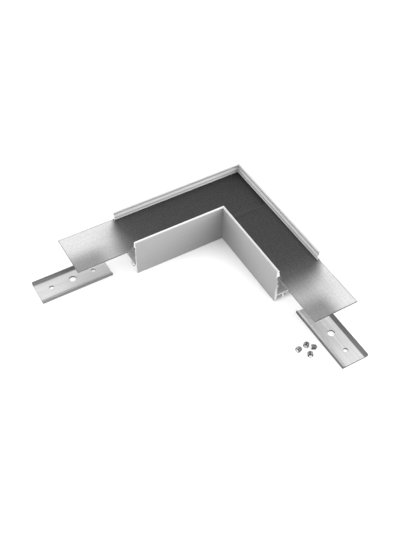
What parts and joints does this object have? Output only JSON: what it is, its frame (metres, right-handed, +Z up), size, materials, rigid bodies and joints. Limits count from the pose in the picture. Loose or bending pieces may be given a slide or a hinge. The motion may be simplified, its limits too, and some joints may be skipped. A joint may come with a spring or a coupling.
{
  "type": "led profile corner connector",
  "caption": "Right-angle corner for LED lighting extrusion: mitred arms with slide-in cover plates, joining rails and grub screws laid beside it.",
  "frame": {"origin": "outer corner of the mitre, on the plane that the side walls stand on", "axes": "+X along the right arm, -Y along the left arm, +Z up from the base to the open side that the plates close"},
  "size_m": [0.1804, 0.1804, 0.032],
  "materials": {
    "extrusion": "satin anodised",
    "plate": "fine mill finish",
    "rail": "brushed along its length",
    "screw": "bright zinc plated"
  },
  "bodies": {
    "root": {"profile_right": "extrusion", "profile_left": "extrusion", "corner_plate": "plate", "straight_plate": "plate", "rail_right": "rail", "rail_left": "rail", "grub_screws": "screw"}
  },
  "joints": []
}
